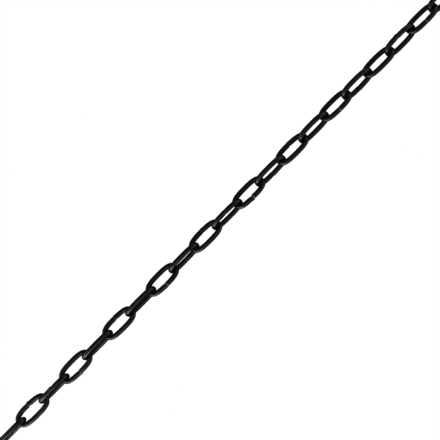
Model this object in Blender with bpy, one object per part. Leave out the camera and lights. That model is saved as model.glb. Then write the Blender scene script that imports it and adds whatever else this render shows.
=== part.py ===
"""Steel clock chain: one straight metre of open oval links, each bent from round wire.

Metres, +Z up. The chain runs along X and lies on the plane z = 0, with its middle link at x = 0.
"""

import math

import bpy
import numpy as np

# Driving dimensions
WIRE = 0.0032
PITCH = 0.0197
OUTSIDE_WIDTH = 0.0123
LINKS = 51

# Clearances between links, and in each link's butted seam
SEAT_GAP = 0.0003
SEAM_GAP = 0.0003

# How the links are turned about the chain's line
MIDDLE_ROLL = math.radians(45)
QUARTER_TURN = math.radians(90)
TWIST_PER_LINK = math.radians(1.9)
END_TWIST = math.radians(22.5)
SEAT_LEAN = math.radians(1.4)
LEAN_MIDDLE = -2.5
LEAN_REACH = 7.5

# Fineness: the wire has 8 sides and each quarter of a link has 5 corners
WIRE_SIDES = 8
BEVEL_RESOLUTION = 2
QUARTER_CORNERS = 5
SQUARENESS = 2.9
CURVE_SAMPLES = 2000

# An eight-sided section with the area of the round wire
SECTION_RADIUS = WIRE / 2 * math.sqrt(2 * math.pi / (WIRE_SIDES * math.sin(2 * math.pi / WIRE_SIDES)))
SECTION_FLAT = SECTION_RADIUS * math.cos(math.pi / WIRE_SIDES)

# Centreline of one link
HALF_WIDTH = (OUTSIDE_WIDTH - WIRE) / 2
HALF_LENGTH = (PITCH + SEAT_GAP) / 2 + SECTION_RADIUS

# Finish of the blackened wire
BLACK_STEEL = (0.012, 0.012, 0.013, 1.0)
STEEL_ROUGHNESS = 0.36
STEEL_METALLIC = 0.35


def clear_scene():
    """Remove every object of the scene."""
    for old in list(bpy.data.objects):
        bpy.data.objects.remove(old, do_unlink=True)


def black_steel():
    """Blackened steel wire."""
    material = bpy.data.materials.new("black_steel")
    material.use_nodes = True
    shader = material.node_tree.nodes["Principled BSDF"]
    shader.inputs["Base Color"].default_value = BLACK_STEEL
    shader.inputs["Roughness"].default_value = STEEL_ROUGHNESS
    shader.inputs["Metallic"].default_value = STEEL_METALLIC
    material.diffuse_color = BLACK_STEEL
    return material


def quarter_of_link():
    """Corners of a quarter link, from beside mid-leg to the tip of the bow.

    The centreline is a superellipse. Its corners are spread evenly over the mean of length and
    turning, so that the bows get more of them than the legs.
    """
    angle = np.linspace(0, math.pi / 2, CURVE_SAMPLES)
    along = HALF_LENGTH * np.sin(angle) ** (2 / SQUARENESS)
    across = HALF_WIDTH * np.abs(np.cos(angle)) ** (2 / SQUARENESS)
    step_along, step_across = np.diff(along), np.diff(across)
    heading = np.arctan2(step_across, step_along)
    length = np.cumsum(np.hypot(step_along, step_across))
    turning = np.abs(heading - heading[0])
    spread = (length / length[-1] + turning / turning[-1]) / 2
    spread = np.concatenate([[0], spread])
    wanted = (np.arange(QUARTER_CORNERS) + 0.5) / (QUARTER_CORNERS - 0.5)
    return list(zip(np.interp(wanted, spread, along), np.interp(wanted, spread, across)))


def link_outline():
    """Points of one link's centreline in its own plane, from one face of its seam to the other.

    The seam is at the middle of the leg on the +Y side.
    """
    quarter = quarter_of_link()
    right = quarter + [(x, -y) for x, y in reversed(quarter[:-1])]
    left = [(-x, y) for x, y in reversed(right)]
    leg = quarter[0][1]
    return [(SEAM_GAP / 2, leg)] + right + left + [(-SEAM_GAP / 2, leg)]


def link_curve(material):
    """The bent wire that all links share."""
    wire = bpy.data.curves.new("link", "CURVE")
    wire.dimensions = "3D"
    wire.twist_mode = "Z_UP"
    wire.bevel_depth = SECTION_RADIUS
    wire.bevel_resolution = BEVEL_RESOLUTION
    wire.use_fill_caps = True
    points = link_outline()
    spline = wire.splines.new("POLY")
    spline.points.add(len(points) - 1)
    for point, (x, y) in zip(spline.points, points):
        point.co = (x, y, 0, 1)
    spline.use_smooth = True
    wire.materials.append(material)
    return wire


def roll_of(step):
    """Turn of a link about the chain's line, for a link this many steps from the middle one.

    Neighbours stand a quarter turn apart. The chain has a slight twist, which ends before both ends.
    Near the middle, odd and even links also lean apart in their seats.
    """
    twist = min(max(step * TWIST_PER_LINK, -END_TWIST), END_TWIST)
    fade = max(1 - ((step - LEAN_MIDDLE) / LEAN_REACH) ** 2, 0) ** 2
    lean = -SEAT_LEAN if step % 2 else SEAT_LEAN
    return MIDDLE_ROLL + step * QUARTER_TURN - twist + lean * fade


def lowest_reach():
    """How far the steepest links reach below the chain's line."""
    leg = link_outline()[0][1]
    return leg * math.sin(MIDDLE_ROLL + END_TWIST) + SECTION_FLAT


def build_chain():
    """Place every link along the chain's line."""
    collection = bpy.data.collections.new("clock_chain")
    bpy.context.scene.collection.children.link(collection)
    line = bpy.data.objects.new("chain_line", None)
    line.location = (0, 0, lowest_reach())
    collection.objects.link(line)
    wire = link_curve(black_steel())
    for number in range(LINKS):
        step = number - LINKS // 2
        link = bpy.data.objects.new(f"link_{number + 1:02d}", wire)
        link.location = (step * PITCH, 0, 0)
        link.rotation_euler = (roll_of(step), 0, 0)
        link.parent = line
        collection.objects.link(link)


clear_scene()
build_chain()
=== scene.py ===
"""Looks of one straight metre of black steel clock chain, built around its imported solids.

Metres, +Z up. The chain runs along X with its middle link at x = 0, and lies on the plane z = 0.
Every link is one bent wire with a butted seam, swept by one Geometry Nodes tree.
"""

import sys
import logging
import math
from dataclasses import dataclass, field
from enum import Enum
from typing import Any, Union

import bpy
from mathutils import Matrix, Vector


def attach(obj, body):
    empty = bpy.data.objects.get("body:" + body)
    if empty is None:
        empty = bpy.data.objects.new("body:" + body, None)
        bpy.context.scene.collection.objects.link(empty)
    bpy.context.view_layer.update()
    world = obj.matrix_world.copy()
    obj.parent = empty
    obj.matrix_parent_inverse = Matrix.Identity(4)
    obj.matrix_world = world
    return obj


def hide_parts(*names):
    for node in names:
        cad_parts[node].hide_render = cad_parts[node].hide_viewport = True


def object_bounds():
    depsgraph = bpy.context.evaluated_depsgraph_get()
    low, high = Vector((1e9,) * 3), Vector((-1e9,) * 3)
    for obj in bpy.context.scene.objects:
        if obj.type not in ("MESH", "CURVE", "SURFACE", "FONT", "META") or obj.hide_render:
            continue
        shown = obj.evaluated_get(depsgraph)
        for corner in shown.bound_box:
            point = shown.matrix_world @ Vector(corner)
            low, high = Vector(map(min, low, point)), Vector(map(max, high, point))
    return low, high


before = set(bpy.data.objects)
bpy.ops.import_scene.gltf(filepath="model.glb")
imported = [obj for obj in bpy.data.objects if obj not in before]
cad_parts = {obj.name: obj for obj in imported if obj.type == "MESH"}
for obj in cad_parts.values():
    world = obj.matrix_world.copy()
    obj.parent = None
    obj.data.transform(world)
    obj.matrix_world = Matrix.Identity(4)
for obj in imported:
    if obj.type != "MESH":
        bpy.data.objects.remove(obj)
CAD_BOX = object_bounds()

log = logging.getLogger("clock_chain")

MM = 0.001

# A cut face has more corners than the faces along the wire
QUAD_CORNERS = 4

# Noise swings about its mean, and each finer octave adds a share of the one before
MEAN_NOISE = 0.5
OCTAVE_SHARE = 0.55

Colour = tuple[float, float, float, float]
Operand = Union["Field", float, int]


def grey(value: float, warmth: float = 0.0) -> Colour:
    """A nearly neutral colour.

    Args:
        value: Its linear brightness.
        warmth: How far red rises and blue falls, as a share of the brightness.

    Returns:
        The colour as red, green, blue and alpha.
    """
    return (value * (1 + warmth), value, value * (1 - warmth), 1.0)


class Trace(Enum):
    """Names of what the sweep stores on every link's mesh."""

    IN_LINK = "in_link"
    ON_WIRE = "on_wire"
    CUT = "cut_face"
    ALONG = "along"
    SEAM_DISTANCE = "seam_distance"
    SEAM_SIDE = "seam_side"
    RING = "ring"
    ROLL = "roll"
    NUMBER = "link_number"
    # Share of a seam's bare cut that shows: full where the seam faces the lamps below, a painted
    # highlight
    BARENESS = "bareness"


class Draw(Enum):
    """Random numbers that differ from link to link: salt, least and most."""

    BURR = (1, 0.0, 1.0)
    BULGE = (3, 0.5, 1.0)
    STEP = (4, 0.2, 0.5)
    SKEW = (5, -1.0, 1.0)
    ASIDE = (6, -1.0, 1.0)
    SLANT = (7, -1.0, 1.0)
    WEDGE = (8, 0.4, 1.0)


class Spots(Enum):
    """Noises on the wire: size of the spots along and around it, in metres, and octaves."""

    CLOUD = ((2.2 * MM, 1.6 * MM, 1.6 * MM), 3.0)
    GRAIN = ((0.32 * MM, 0.30 * MM, 0.30 * MM), 2.0)
    DRAWN = ((7.0 * MM, 0.16 * MM, 0.16 * MM), 2.0)
    RUBBED = ((3.2 * MM, 0.34 * MM, 0.34 * MM), 3.0)


def find_socket(sockets: Any, key: Union[str, int]) -> bpy.types.NodeSocket:
    """A socket by its number, or the first enabled one of a name.

    Args:
        sockets: A node's inputs or outputs.
        key: The number or the name.

    Returns:
        The socket.

    Raises:
        KeyError: If no enabled socket has the name.
    """
    if isinstance(key, int):
        return sockets[key]
    for socket in sockets:
        if socket.name == key and socket.enabled:
            return socket
    raise KeyError(f"no socket {key} among {[socket.name for socket in sockets]}")


class Field:
    """An output socket on which arithmetic adds Math nodes."""

    def __init__(self, nodes: "NodeMaker", socket: bpy.types.NodeSocket) -> None:
        """Wrap a socket.

        Args:
            nodes: The maker of the tree that the socket is in.
            socket: The output socket.
        """
        self.nodes = nodes
        self.socket = socket

    def other(self, name: Union[str, int]) -> "Field":
        """Another output of the same node, by name or number."""
        return Field(self.nodes, find_socket(self.socket.node.outputs, name))

    def __add__(self, other: Operand) -> "Field":
        """Sum."""
        return self.nodes.math("ADD", self, other)

    __radd__ = __add__

    def __sub__(self, other: Operand) -> "Field":
        """Difference."""
        return self.nodes.math("SUBTRACT", self, other)

    def __rsub__(self, other: Operand) -> "Field":
        """Difference, from a number."""
        return self.nodes.math("SUBTRACT", other, self)

    def __mul__(self, other: Operand) -> "Field":
        """Product."""
        return self.nodes.math("MULTIPLY", self, other)

    __rmul__ = __mul__

    def __truediv__(self, other: Operand) -> "Field":
        """Quotient."""
        return self.nodes.math("DIVIDE", self, other)

    def __rtruediv__(self, other: Operand) -> "Field":
        """Quotient, of a number."""
        return self.nodes.math("DIVIDE", other, self)

    def __pow__(self, other: Operand) -> "Field":
        """Power."""
        return self.nodes.math("POWER", self, other)

    def __mod__(self, other: Operand) -> "Field":
        """Remainder, never negative."""
        return self.nodes.math("FLOORED_MODULO", self, other)

    def __abs__(self) -> "Field":
        """Size without sign."""
        return self.nodes.math("ABSOLUTE", self)

    def at_least(self, low: Operand) -> "Field":
        """The larger of the two."""
        return self.nodes.math("MAXIMUM", self, low)

    def at_most(self, high: Operand) -> "Field":
        """The smaller of the two."""
        return self.nodes.math("MINIMUM", self, high)

    def over(self, limit: Operand) -> "Field":
        """One where it is more than the limit, else zero."""
        return self.nodes.math("GREATER_THAN", self, limit)

    def ease(self, start: float, end: float) -> "Field":
        """A smooth step.

        Args:
            start: Where the result is zero. It may be more than the end.
            end: Where the result is one.

        Returns:
            The step, from zero to one.
        """
        return self.nodes.add(
            "ShaderNodeMapRange",
            {"interpolation_type": "SMOOTHSTEP"},
            {
                "Value": self,
                "From Min": min(start, end),
                "From Max": max(start, end),
                "To Min": float(start > end),
                "To Max": float(start < end),
            },
        )


class NodeMaker:
    """Adds nodes to one tree."""

    def __init__(self, tree: bpy.types.NodeTree) -> None:
        """Start with an empty tree.

        Args:
            tree: A geometry, material or world tree, which is cleared.
        """
        self.tree = tree
        tree.nodes.clear()

    def add(
        self,
        kind: str,
        settings: Union[dict[str, Any], None] = None,
        values: Union[dict[Union[str, int], Any], None] = None,
    ) -> Union[Field, None]:
        """Add a node.

        Args:
            kind: The node's type.
            settings: Its properties, which are set first.
            values: A value or a field for each of its inputs, by name or number.

        Returns:
            The node's first enabled output, or None if it has none.
        """
        node = self.tree.nodes.new(kind)
        for name, value in (settings or {}).items():
            setattr(node, name, value)
        for key, value in (values or {}).items():
            socket = find_socket(node.inputs, key)
            if isinstance(value, Field):
                self.tree.links.new(value.socket, socket)
            else:
                socket.default_value = value
        outputs = [socket for socket in node.outputs if socket.enabled]
        return Field(self, outputs[0]) if outputs else None

    def math(self, operation: str, *operands: Operand) -> Field:
        """Add a Math node.

        Args:
            operation: The node's operation.
            *operands: Its inputs, in order.

        Returns:
            The result.
        """
        return self.add("ShaderNodeMath", {"operation": operation}, dict(enumerate(operands)))

    def parts(self, vector: Field) -> tuple[Field, Field, Field]:
        """A vector's three numbers."""
        x = self.add("ShaderNodeSeparateXYZ", None, {0: vector})
        return x, x.other("Y"), x.other("Z")

    def vector(self, x: Operand = 0.0, y: Operand = 0.0, z: Operand = 0.0) -> Field:
        """A vector from three numbers."""
        return self.add("ShaderNodeCombineXYZ", None, {0: x, 1: y, 2: z})


@dataclass(frozen=True)
class LinkShape:
    """Sizes of one link's bent wire, in metres.

    Attributes:
        wire: Diameter of the wire.
        width: Width of the link outside.
        pitch: Distance from one link to the next.
        seat_play: What is left between two links that bear on each other.
        squareness: Exponent of the centreline's superellipse: 2 is an ellipse.
        seam_gap: Width of the open seam between the wire's ends.
        sides: Sides of the swept wire.
        rings: Rings along the wire.
    """

    wire: float = 3.2 * MM
    width: float = 12.3 * MM
    pitch: float = 19.7 * MM
    seat_play: float = 0.02 * MM
    squareness: float = 2.9
    seam_gap: float = 0.01 * MM
    sides: int = 20
    rings: int = 128

    @property
    def half_length(self) -> float:
        """Centreline's reach along the link, with which neighbours bear on each other."""
        return (self.pitch + self.wire + self.seat_play) / 2

    @property
    def half_width(self) -> float:
        """Centreline's reach across the link."""
        return (self.width - self.wire) / 2


@dataclass(frozen=True)
class SeamShape:
    """How the two wire ends meet at a seam. Lengths are in metres, and the most that a link gets.

    Attributes:
        reach: How far from the seam the wire is bent out of line.
        bulge: How far both ends stand out from the leg.
        step: How far one end stands out beyond the other.
        aside: How far both ends stand out of the link's plane, one to either side.
        wedge: How far each cut face draws back at the outside, where the seam is left open.
        slant: How far a cut face leans.
        burr: How far the shear pulled the outer edge of the outer end.
        burr_rarity: Power that makes a large burr rarer than a small one.
        burr_sharpness: Power that keeps a burr to the outside of the wire.
        burr_fold: How far a burr leans over the seam, as a share of its height.
        edge: How far from a cut face its edge is worked.
        rounding: Share by which a cut face is narrower than the wire.
        rubbed: Step from the middle link of a seam that faces the lamps below, whose bare cut is
            shown fully: a painted highlight.
        alike: Number of links after which a seam faces the same way, and gets the same painted
            highlight.
        unlit_seam_bareness: How bare the other seams, which face away from those lamps, are shown,
            as a share.
    """

    reach: float = 3.4 * MM
    bulge: float = 0.14 * MM
    step: float = 0.42 * MM
    aside: float = 0.20 * MM
    wedge: float = 0.07 * MM
    slant: float = 0.26 * MM
    burr: float = 0.95 * MM
    burr_rarity: int = 4
    burr_sharpness: int = 3
    burr_fold: float = 0.5
    edge: float = 0.45 * MM
    rounding: float = 0.07
    rubbed: int = 1
    alike: int = 4
    unlit_seam_bareness: float = 0.15


@dataclass(frozen=True)
class ChainLay:
    """How the links are turned about the chain's line, in radians.

    Attributes:
        links: Number of links.
        middle_roll: Turn of the middle link.
        quarter: Turn from one link to the next.
        twist: Slight twist from one link to the next.
        end_twist: Where the twist ends.
        lean: How far links lean in their seats, at the most. Odd and even ones lean apart.
        lean_middle: Where they lean most, in links from the middle one.
        lean_reach: Number of links over which that leaning fades.
        skew: Most that a link is out of line, as a slope.
    """

    links: int = 51
    middle_roll: float = math.radians(45)
    quarter: float = math.radians(90)
    twist: float = math.radians(1.9)
    end_twist: float = math.radians(22.5)
    lean: float = math.radians(1.4)
    lean_middle: float = -2.5
    lean_reach: float = 7.5
    skew: float = 0.008

    @property
    def middle(self) -> int:
        """Number of the middle link."""
        return self.links // 2 + 1


@dataclass(frozen=True)
class SeatWear:
    """Where the next link bears inside a bow.

    Over each pair of places, in metres, the wear goes from none to full.

    Attributes:
        outer: From the centreline's reach along the link, towards the bow's outside.
        inner: From the centreline's reach along the link, towards the bow's inside.
        around: Distance from the link's own line.
    """

    outer: tuple[float, float] = (0.2 * MM, -0.9 * MM)
    inner: tuple[float, float] = (-2.4 * MM, -1.6 * MM)
    around: tuple[float, float] = (2.6 * MM, 1.1 * MM)

    def mask(self, nodes: NodeMaker, in_link: Field, reach: float) -> Field:
        """Mark the seat.

        Args:
            nodes: The material's nodes.
            in_link: Places in the link's own plane.
            reach: The centreline's reach along the link.

        Returns:
            One in the seat, fading to zero around it.
        """
        x, y, z = nodes.parts(in_link)
        outer = abs(x).ease(*(reach + edge for edge in self.outer))
        inner = abs(x).ease(*(reach + edge for edge in self.inner))
        near = (y * y + z * z).ease(*(edge**2 for edge in self.around))
        return outer * inner * near


@dataclass(frozen=True)
class SatinBlackWire:
    """Satin black coat on drawn steel wire, worn where links bear and bare where it was cut; cuts
    facing the lamps below are painted brighter.

    Attributes:
        deep: Coat where it is thick.
        thin: Coat where it is thin.
        scuff: Coat that was scuffed grey.
        steel: Steel that shows through in the seats.
        sheared: Bare steel of the cut faces.
        seat: Where links bear on each other.
        cloudiness: Share of the broad clouds in the coat's thickness. The fine grain has the rest.
        scuffed: Noise from which a scuff begins, and at which it is full.
        scuff_share: How far a scuff turns the coat grey.
        seat_share: How far a seat turns the coat grey.
        worn: Noise from which a seat is worn through, and at which it is so fully.
        worn_share: How far the steel colours what is worn through.
        worn_metal: Metallic value of what is worn through.
        bared: Distance from a cut face at which the coat is whole, and at which it is gone.
        ragged: Noise from which the coat near a cut face comes off, and at which it is gone.
        bare_metal: Metallic value of the cut faces.
        roughness: Roughness of the coat.
        cloud_roughness: How much the clouds change it.
        grain_roughness: How much the grain changes it.
        scuff_polish: How much smoother a scuff is.
        cut_roughness: Roughness of the cut faces.
        specular: Strength of the coat's reflection.
        relief: Height of the coat's unevenness, in metres.
        bump: Strength of that unevenness.
        cloud_height: Share of the clouds in it.
        worn_depth: How deep a worn place lies in it.
    """

    deep: Colour = grey(0.006)
    thin: Colour = grey(0.014, 0.03)
    scuff: Colour = grey(0.045, 0.02)
    steel: Colour = grey(0.10, 0.03)
    sheared: Colour = grey(0.20, 0.02)
    seat: SeatWear = SeatWear()
    cloudiness: float = 0.7
    scuffed: tuple[float, float] = (0.60, 0.76)
    scuff_share: float = 0.55
    seat_share: float = 0.5
    worn: tuple[float, float] = (0.38, 0.68)
    worn_share: float = 0.8
    worn_metal: float = 0.85
    bared: tuple[float, float] = (0.70 * MM, 0.20 * MM)
    ragged: tuple[float, float] = (0.25, 0.60)
    bare_metal: float = 0.9
    roughness: float = 0.33
    cloud_roughness: float = 0.16
    grain_roughness: float = 0.10
    scuff_polish: float = 0.05
    cut_roughness: float = 0.52
    specular: float = 0.55
    relief: float = 0.016 * MM
    bump: float = 0.55
    cloud_height: float = 1.6
    worn_depth: float = 0.6

    def build(self, shape: LinkShape) -> bpy.types.Material:
        """Make the material.

        Args:
            shape: Sizes of the link that it is on.

        Returns:
            The material, which reads what the sweep stored on the links.
        """
        material = bpy.data.materials.new("satin_black_wire")
        material.use_nodes = True
        nodes = NodeMaker(material.node_tree)
        on_wire = self._stored(nodes, Trace.ON_WIRE)
        cloud = self._noise(nodes, on_wire, Spots.CLOUD)
        grain = self._noise(nodes, on_wire, Spots.GRAIN)
        brushed = (grain + self._noise(nodes, on_wire, Spots.DRAWN)) / 2
        scuffs = self._noise(nodes, on_wire, Spots.RUBBED).ease(*self.scuffed)
        seat = self.seat.mask(nodes, self._stored(nodes, Trace.IN_LINK), shape.half_length)
        worn = seat * brushed.ease(*self.worn)
        thickness = cloud * self.cloudiness + grain * (1 - self.cloudiness)
        coat = self._mix(nodes, thickness, self.deep, self.thin)
        greyed = scuffs * self.scuff_share + seat * self.seat_share
        coat = self._mix(nodes, greyed, coat, self.scuff)
        coat = self._mix(nodes, worn * self.worn_share, coat, self.steel)
        bare = self._stored(nodes, Trace.SEAM_DISTANCE).other("Fac").ease(*self.bared)
        bare = bare * grain.ease(*self.ragged)
        bare = bare.at_least(self._stored(nodes, Trace.CUT).other("Fac"))
        # The bare cut shows fully only on seams facing the lamps below: a painted highlight on real
        # bare steel
        bare = bare * self._stored(nodes, Trace.BARENESS).other("Fac")
        rough = self.roughness + (cloud - MEAN_NOISE) * self.cloud_roughness
        rough = rough + (grain - MEAN_NOISE) * self.grain_roughness - scuffs * self.scuff_polish
        height = brushed + cloud * self.cloud_height - worn * self.worn_depth
        bump = {"Strength": self.bump, "Distance": self.relief, "Height": height}
        surface = nodes.add(
            "ShaderNodeBsdfPrincipled",
            None,
            {
                "Base Color": self._mix(nodes, bare, coat, self.sheared),
                "Metallic": (worn * self.worn_metal).at_least(bare * self.bare_metal),
                "Roughness": rough * (1 - bare) + bare * self.cut_roughness,
                "Specular IOR Level": self.specular,
                "Normal": nodes.add("ShaderNodeBump", None, bump),
            },
        )
        nodes.add("ShaderNodeOutputMaterial", None, {"Surface": surface})
        material.diffuse_color = self.thin
        return material

    @staticmethod
    def _stored(nodes: NodeMaker, trace: Trace) -> Field:
        """What the sweep stored, as a vector, with its number as the output Fac."""
        return nodes.add("ShaderNodeAttribute", {"attribute_name": trace.value}).other("Vector")

    @staticmethod
    def _noise(nodes: NodeMaker, place: Field, spots: Spots) -> Field:
        """Noise along and around the wire.

        Args:
            nodes: The material's nodes.
            place: The coordinates, in metres.
            spots: Which noise.

        Returns:
            Values about the mean one.
        """
        sizes, octaves = spots.value
        values = {0: place, 1: tuple(1 / size for size in sizes)}
        scaled = nodes.add("ShaderNodeVectorMath", {"operation": "MULTIPLY"}, values)
        values = {"Vector": scaled, "Scale": 1.0, "Detail": octaves, "Roughness": OCTAVE_SHARE}
        return nodes.add("ShaderNodeTexNoise", None, values)

    @staticmethod
    def _mix(
        nodes: NodeMaker,
        share: Field,
        below: Union[Colour, Field],
        above: Union[Colour, Field],
    ) -> Field:
        """Blend two colours.

        Args:
            nodes: The material's nodes.
            share: How much of the upper colour shows, from zero to one.
            below: The lower colour.
            above: The upper colour.

        Returns:
            The blend.
        """
        values = {"Factor": share, "A": below, "B": above}
        return nodes.add("ShaderNodeMix", {"data_type": "RGBA"}, values)


@dataclass
class WireLinkTree:
    """The Geometry Nodes tree that sweeps a run of links.

    Attributes:
        shape: Sizes of a link.
        seam: How a link's ends meet.
        lay: How the links lie.
        seed: Seed of what differs from link to link.
        fineness: Points of the centreline before they are spaced evenly.
        finish_shift: Pitches by which the finish moves on with each link, so that none are alike.
    """

    shape: LinkShape = field(default_factory=LinkShape)
    seam: SeamShape = field(default_factory=SeamShape)
    lay: ChainLay = field(default_factory=ChainLay)
    seed: int = 360
    fineness: int = 600
    finish_shift: float = math.pi

    def __post_init__(self) -> None:
        """Build the tree with its named inputs."""
        self.tree = bpy.data.node_groups.new("wire_links", "GeometryNodeTree")
        self.identifiers: dict[str, str] = {}
        for name, value in self.sizes().items():
            kind = "NodeSocketInt" if isinstance(value, int) else "NodeSocketFloat"
            self._add_input(name, kind).default_value = value
        self._add_input("Finish", "NodeSocketMaterial")
        self.tree.interface.new_socket("Links", in_out="OUTPUT", socket_type="NodeSocketGeometry")
        self.nodes = NodeMaker(self.tree)
        self.inputs = self.nodes.add("NodeGroupInput")
        links = self._place(self._sweep())
        links = self._bend_at_seam(self.nodes.add("GeometryNodeRealizeInstances", None, {0: links}))
        values = {"Geometry": links, "Material": self.inputs.other("Finish")}
        links = self.nodes.add("GeometryNodeSetMaterial", None, values)
        self.nodes.add("NodeGroupOutput", None, {0: links})

    def sizes(self) -> dict[str, Union[int, float]]:
        """List the sizes that the tree takes.

        Returns:
            The name of each of its inputs, with its value.
        """
        shape, seam, lay = self.shape, self.seam, self.lay
        return {
            "First Link": lay.middle,
            "Link Count": 1,
            "Middle Link": lay.middle,
            "Rings": shape.rings,
            "Sides": shape.sides,
            "Seed": self.seed,
            "Line Height": 0.0,
            "Pitch": shape.pitch,
            "Half Length": shape.half_length,
            "Half Width": shape.half_width,
            "Wire Radius": shape.wire / 2,
            "Squareness": shape.squareness,
            "Middle Roll": lay.middle_roll,
            "Quarter": lay.quarter,
            "Twist": lay.twist,
            "End Twist": lay.end_twist,
            "Lean": lay.lean,
            "Lean Middle": lay.lean_middle,
            "Lean Reach": lay.lean_reach,
            "Skew": lay.skew,
            "Seam Gap": shape.seam_gap,
            "Bulge": seam.bulge,
            "Step": seam.step,
            "Aside": seam.aside,
            "Wedge": seam.wedge,
            "Slant": seam.slant,
            "Burr": seam.burr,
            "Rounding": seam.rounding,
            # Which seams face the lamps below and get the painted highlight of a fully bare cut,
            # and how much the rest get
            "Painted Lit Seam": seam.rubbed,
            "Unlit Seam Bareness": seam.unlit_seam_bareness,
        }

    def _add_input(self, name: str, kind: str) -> bpy.types.NodeTreeInterfaceSocket:
        """Add a named input and remember its identifier.

        Args:
            name: The input's name.
            kind: The type of its socket.

        Returns:
            The input, whose default value can be set.
        """
        socket = self.tree.interface.new_socket(name, in_out="INPUT", socket_type=kind)
        self.identifiers[name] = socket.identifier
        return socket

    def _stored(self, trace: Trace, kind: str = "FLOAT") -> Field:
        """Read what was stored."""
        settings, values = {"data_type": kind}, {"Name": trace.value}
        return self.nodes.add("GeometryNodeInputNamedAttribute", settings, values)

    def _store(
        self,
        geometry: Field,
        trace: Trace,
        value: Field,
        kind: str = "FLOAT",
        domain: str = "POINT",
    ) -> Field:
        """Store a value under its name.

        Args:
            geometry: What it is stored on.
            trace: Its name.
            value: The value.
            kind: Its data type.
            domain: What it is stored for.

        Returns:
            The geometry with the value.
        """
        settings = {"data_type": kind, "domain": domain}
        values = {"Geometry": geometry, "Name": trace.value, "Value": value}
        return self.nodes.add("GeometryNodeStoreNamedAttribute", settings, values)

    def _random(self, draw: Draw) -> Field:
        """Draw a number for each link.

        Args:
            draw: Which number, with its range.

        Returns:
            The number, on every point of a link whose own number is stored.
        """
        salt, low, high = draw.value
        values = {
            "Min": low,
            "Max": high,
            "ID": self._stored(Trace.NUMBER, "INT"),
            "Seed": self.inputs.other("Seed") + salt,
        }
        return self.nodes.add("FunctionNodeRandomValue", None, values)

    def _sweep(self) -> Field:
        """Sweep one link in its own plane, with its seam at the middle of the leg on the +Y side.

        Returns:
            The link's mesh.
        """
        nodes, size = self.nodes, self.inputs.other
        wire = nodes.add("GeometryNodeMeshLine", None, {"Count": self.fineness})
        wire = nodes.add("GeometryNodeMeshToCurve", None, {"Mesh": wire})
        power = 2 / size("Squareness")
        start = (size("Seam Gap") / size("Half Length") / 2) ** (size("Squareness") / 2)
        start = nodes.math("ARCSINE", start)
        share = nodes.add("GeometryNodeInputIndex") / (self.fineness - 1)
        angle = start + (2 * math.pi - start * 2) * share
        sine, cosine = nodes.math("SINE", angle), nodes.math("COSINE", angle)
        x = nodes.math("SIGN", sine) * abs(sine) ** power * size("Half Length")
        y = nodes.math("SIGN", cosine) * abs(cosine) ** power * size("Half Width")
        values = {"Geometry": wire, "Position": nodes.vector(x, y)}
        wire = nodes.add("GeometryNodeSetPosition", None, values)
        wire = nodes.add("GeometryNodeResampleCurve", None, {"Curve": wire, "Count": size("Rings")})
        along = nodes.add("GeometryNodeSplineParameter").other("Length")
        length = nodes.add("GeometryNodeSplineLength")
        wire = self._store(wire, Trace.ALONG, along)
        wire = self._store(wire, Trace.SEAM_DISTANCE, along.at_most(length - along))
        wire = self._store(wire, Trace.SEAM_SIDE, 1 - along.over(length / 2) * 2)
        values = {"Resolution": size("Sides"), "Radius": size("Wire Radius")}
        ring = nodes.add("GeometryNodeCurvePrimitiveCircle", None, values)
        place = nodes.add("GeometryNodeInputPosition")
        ring = self._store(ring, Trace.RING, place, "FLOAT_VECTOR")
        rounding = self._stored(Trace.SEAM_DISTANCE).ease(self.seam.edge, 0.0) * size("Rounding")
        values = {"Curve": wire, "Profile Curve": ring, "Scale": 1 - rounding, "Fill Caps": True}
        link = nodes.add("GeometryNodeCurveToMesh", None, values)
        cut = nodes.add("GeometryNodeInputMeshFaceNeighbors").over(QUAD_CORNERS)
        link = self._store(link, Trace.CUT, cut, domain="FACE")
        values = {"Geometry": link, "Shade Smooth": 1 - cut}
        link = nodes.add("GeometryNodeSetShadeSmooth", None, values)
        return self._store(link, Trace.IN_LINK, place, "FLOAT_VECTOR")

    def _place(self, link: Field) -> Field:
        """Put the links of the run on the chain's line, each with its turn.

        Args:
            link: One link's mesh.

        Returns:
            The links, as instances.
        """
        nodes, size = self.nodes, self.inputs.other
        number = size("First Link") + nodes.add("GeometryNodeInputIndex")
        step = number - size("Middle Link")
        values = {
            "Count": size("Link Count"),
            "Position": nodes.vector(step * size("Pitch"), 0.0, size("Line Height")),
        }
        points = nodes.add("GeometryNodePoints", None, values)
        twist = (step * size("Twist")).at_most(size("End Twist")).at_least(size("End Twist") * -1)
        fade = (step - size("Lean Middle")) / size("Lean Reach")
        lean = (1 - step % 2 * 2) * size("Lean") * (1 - fade * fade).at_least(0.0) ** 2
        roll = size("Middle Roll") + step * size("Quarter") - twist + lean
        points = self._store(points, Trace.NUMBER, number, "INT")
        points = self._store(points, Trace.ROLL, roll)
        # Seams facing the lamps below show their bare cut fully, as a painted highlight; the others
        # show little of it
        rubbed = 1 - ((step - size("Painted Lit Seam")) % self.seam.alike).at_most(1.0)
        points = self._store(points, Trace.BARENESS, rubbed.at_least(size("Unlit Seam Bareness")))
        angles = nodes.vector(self._stored(Trace.ROLL))
        turn = nodes.add("FunctionNodeEulerToRotation", None, {0: angles})
        values = {"Points": points, "Instance": link, "Rotation": turn}
        return nodes.add("GeometryNodeInstanceOnPoints", None, values)

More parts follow.
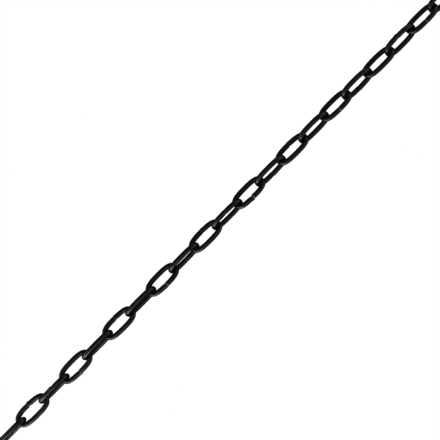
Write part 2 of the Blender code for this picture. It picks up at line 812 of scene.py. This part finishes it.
    def _bend_at_seam(self, links: Field) -> Field:
        """Bend the ends at each seam, shape their cut faces, and skew each link a little.

        Args:
            links: The links' real meshes.

        Returns:
            The links, with places along and around the wire stored for the finish.
        """
        nodes, size = self.nodes, self.inputs.other
        x, y, z = nodes.parts(self._stored(Trace.IN_LINK, "FLOAT_VECTOR"))
        distance, side = self._stored(Trace.SEAM_DISTANCE), self._stored(Trace.SEAM_SIDE)
        near = distance.ease(self.seam.reach, 0.0)
        edge = distance.ease(self.seam.edge, 0.0)
        outward = (y - size("Half Width")) / size("Wire Radius")
        sideways = z / size("Wire Radius")
        step = self._stored(Trace.NUMBER, "INT") - size("Middle Link")
        outer_end = side * (nodes.math("FLOOR", step / 2) % 2 * 2 - 1)
        burr = size("Burr") * self._random(Draw.BURR) ** self.seam.burr_rarity
        burr = burr * outward.at_least(0.0) ** self.seam.burr_sharpness * edge
        burr = burr * outer_end.over(0.0)
        out = near * size("Bulge") * self._random(Draw.BULGE)
        out = out + near * outer_end * size("Step") * self._random(Draw.STEP) + burr
        out = out + x * size("Skew") * self._random(Draw.SKEW)
        beside = near * side * size("Aside") * self._random(Draw.ASIDE)
        lengthways = edge * sideways * size("Slant") * self._random(Draw.SLANT)
        lengthways = lengthways - side * burr * self.seam.burr_fold
        opening = size("Wedge") * self._random(Draw.WEDGE) * ((outward + 1) / 2).at_least(0.0) ** 2
        lengthways = lengthways + edge * side * opening
        bend = nodes.add(
            "ShaderNodeVectorRotate",
            {"rotation_type": "X_AXIS"},
            {"Vector": nodes.vector(lengthways, out, beside), "Angle": self._stored(Trace.ROLL)},
        )
        links = nodes.add("GeometryNodeSetPosition", None, {"Geometry": links, "Offset": bend})
        ring, round_z, _ = nodes.parts(self._stored(Trace.RING, "FLOAT_VECTOR"))
        shift = self._stored(Trace.NUMBER, "INT") * size("Pitch") * self.finish_shift
        along = self._stored(Trace.ALONG) + shift
        return self._store(links, Trace.ON_WIRE, nodes.vector(along, ring, round_z), "FLOAT_VECTOR")


@dataclass
class ClockChain:
    """The chain: one bent wire for each packed link.

    Attributes:
        sweep: The tree that makes the links.
        finish: Finish of the wire.
        line_height: Height of the chain's line.
        slot: Name of the wire's material slot. It is not used.
    """

    sweep: WireLinkTree = field(default_factory=WireLinkTree)
    finish: SatinBlackWire = field(default_factory=SatinBlackWire)
    line_height: float = (CAD_BOX[0][2] + CAD_BOX[1][2]) / 2
    slot: str = "wire"

    def build(self) -> list[bpy.types.Object]:
        """Make every link and tie it to its body and its solid.

        Returns:
            The links.
        """
        material = self.finish.build(self.sweep.shape)
        links = []
        for number in range(1, self.sweep.lay.links + 1):
            solid = f"link_{number:02d}"
            link = self._link(number, material)
            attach(link, solid)
            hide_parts(solid)
            links.append(link)
        return links

    def _link(self, number: int, material: bpy.types.Material) -> bpy.types.Object:
        """Make one link as a plain mesh.

        Args:
            number: The link's number, from the low end of X.
            material: Its finish.

        Returns:
            The link's object, at the origin.
        """
        link = bpy.data.objects.new(f"wire_link_{number:02d}", bpy.data.meshes.new("empty"))
        bpy.context.scene.collection.objects.link(link)
        modifier = link.modifiers.new("wire_links", "NODES")
        modifier.node_group = self.sweep.tree
        values = self.sweep.sizes()
        values |= {"First Link": number, "Line Height": self.line_height, "Finish": material}
        for name, value in values.items():
            modifier[self.sweep.identifiers[name]] = value
        graph = bpy.context.evaluated_depsgraph_get()
        mesh = bpy.data.meshes.new_from_object(
            link.evaluated_get(graph), preserve_all_data_layers=True, depsgraph=graph
        )
        link.modifiers.remove(modifier)
        link.data = mesh
        mesh.name = link.name
        return link


class Light(Enum):
    """The soft lights: way from the object, as right, up and towards the camera, and power."""

    OVERHEAD = ((0.0, 0.0, 1.0), 3.4)
    HIGH_BELOW = ((0.0, -1.0, 1.1), 2.0)
    BELOW = ((0.0, -1.0, 0.35), 21.5)
    BELOW_LEFT = ((-0.71, -0.71, 0.35), 14.5)
    LEFT = ((-1.0, 0.0, 0.35), 8.0)
    ABOVE_LEFT = ((-0.71, 0.71, 0.35), 0.4)
    ABOVE = ((0.0, 1.0, 0.35), 5.2)
    ABOVE_RIGHT = ((0.71, 0.71, 0.35), 5.2)
    RIGHT = ((1.0, 0.0, 0.35), 7.4)
    BELOW_RIGHT = ((0.71, -0.71, 0.35), 4.0)


@dataclass(frozen=True)
class Studio:
    """Camera, soft light and pale floor, arranged as in the photograph.

    Attributes:
        tilt: Lean of the camera from straight above, about the chain's line.
        slope: Slope of the chain's line in the picture.
        along: Where the camera's axis meets the chain's line.
        aside: How far the camera's axis passes beside the chain's line.
        view_width: Width of what the picture shows at the chain.
        lens: Focal length in millimetres.
        light_distance: How far each light is from what the camera looks at.
        light_size: Width of each light.
        floor_drop: How far the floor is below the chain, further than a swung run reaches.
        floor_size: Width of the floor.
        floor_colour: Colour of the floor.
        backdrop: Colour beyond the floor.
        contrast: Gamma of the picture. Under one it deepens the dark tones.
    """

    tilt: float = math.radians(16.5)
    slope: float = math.radians(45.18)
    along: float = -5.8 * MM
    aside: float = 0.74 * MM
    view_width: float = 282.5 * MM
    lens: float = 100.0
    light_distance: float = 1.20
    light_size: float = 0.9
    floor_drop: float = 600.0 * MM
    floor_size: float = 30.0
    floor_colour: Colour = grey(1.0)
    backdrop: Colour = grey(1.0)
    contrast: float = 0.6

    def build(self, line_height: float) -> None:
        """Make the camera, the lights, the floor and the backdrop.

        Args:
            line_height: Height of the chain's line.
        """
        towards = Vector((0, math.sin(self.tilt), math.cos(self.tilt)))
        across = Vector((0, math.cos(self.tilt), -math.sin(self.tilt)))
        chain = Vector((1, 0, 0))
        right = chain * math.cos(self.slope) - across * math.sin(self.slope)
        up = chain * math.sin(self.slope) + across * math.cos(self.slope)
        target = Vector((self.along, 0, line_height)) + across * self.aside
        turn = Matrix((right, up, towards)).transposed()
        self._camera(target, turn)
        for light in Light:
            self._light(light, target, turn)
        self._floor()
        self._backdrop()
        scene = bpy.context.scene
        scene.view_settings.view_transform = "Standard"
        scene.view_settings.gamma = self.contrast

    def _camera(self, target: Vector, turn: Matrix) -> None:
        """Make the camera.

        Args:
            target: What it looks at.
            turn: Its axes, as the columns right, up and backwards.
        """
        camera = bpy.data.objects.new("camera", bpy.data.cameras.new("camera"))
        camera.data.lens = self.lens
        distance = self.view_width * self.lens / camera.data.sensor_width
        camera.matrix_world = Matrix.Translation(target + turn.col[2] * distance) @ turn.to_4x4()
        bpy.context.scene.collection.objects.link(camera)
        bpy.context.scene.camera = camera

    def _light(self, light: Light, target: Vector, turn: Matrix) -> None:
        """Make one soft light that faces the object.

        Args:
            light: Which one.
            target: What it faces.
            turn: The camera's axes.
        """
        way, power = light.value
        name = light.name.lower()
        away = (turn @ Vector(way)).normalized()
        lamp = bpy.data.objects.new(name, bpy.data.lights.new(name, "AREA"))
        lamp.data.shape = "SQUARE"
        lamp.data.size = self.light_size
        lamp.data.energy = power
        facing = away.to_track_quat("Z", "Y").to_matrix().to_4x4()
        lamp.matrix_world = Matrix.Translation(target + away * self.light_distance) @ facing
        bpy.context.scene.collection.objects.link(lamp)

    def _floor(self) -> None:
        """Make the plain pale floor, which glows evenly and so shows no shadow."""
        half = self.floor_size / 2
        corners = [(-half, -half, -self.floor_drop), (half, -half, -self.floor_drop)]
        corners += [(half, half, -self.floor_drop), (-half, half, -self.floor_drop)]
        mesh = bpy.data.meshes.new("floor")
        mesh.from_pydata(corners, [], [(0, 1, 2, 3)])
        material = bpy.data.materials.new("pale_floor")
        material.use_nodes = True
        nodes = NodeMaker(material.node_tree)
        values = {
            "Base Color": grey(0.0),
            "Specular IOR Level": 0.0,
            "Emission Color": self.floor_colour,
            "Emission Strength": 1.0,
        }
        surface = nodes.add("ShaderNodeBsdfPrincipled", None, values)
        nodes.add("ShaderNodeOutputMaterial", None, {"Surface": surface})
        mesh.materials.append(material)
        floor = bpy.data.objects.new("floor", mesh)
        floor.visible_diffuse = floor.visible_glossy = False
        bpy.context.scene.collection.objects.link(floor)

    def _backdrop(self) -> None:
        """Make what is beyond the floor pale too, without lighting the chain from there."""
        world = bpy.data.worlds.new("backdrop")
        bpy.context.scene.world = world
        world.use_nodes = True
        nodes = NodeMaker(world.node_tree)
        background = nodes.add("ShaderNodeBackground", None, {"Color": self.backdrop})
        nodes.add("ShaderNodeOutputWorld", None, {"Surface": background})
        world.cycles_visibility.diffuse = world.cycles_visibility.glossy = False


def main() -> None:
    """Build the chain and its studio, and report each piece."""
    logging.basicConfig(level=logging.INFO, format="%(message)s", stream=sys.stdout)
    chain = ClockChain()
    links = chain.build()
    for link in links:
        log.info("%s: %d faces", link.name, len(link.data.polygons))
    log.info("chain: %d links", len(links))
    Studio().build(chain.line_height)


if __name__ == "__main__":
    main()
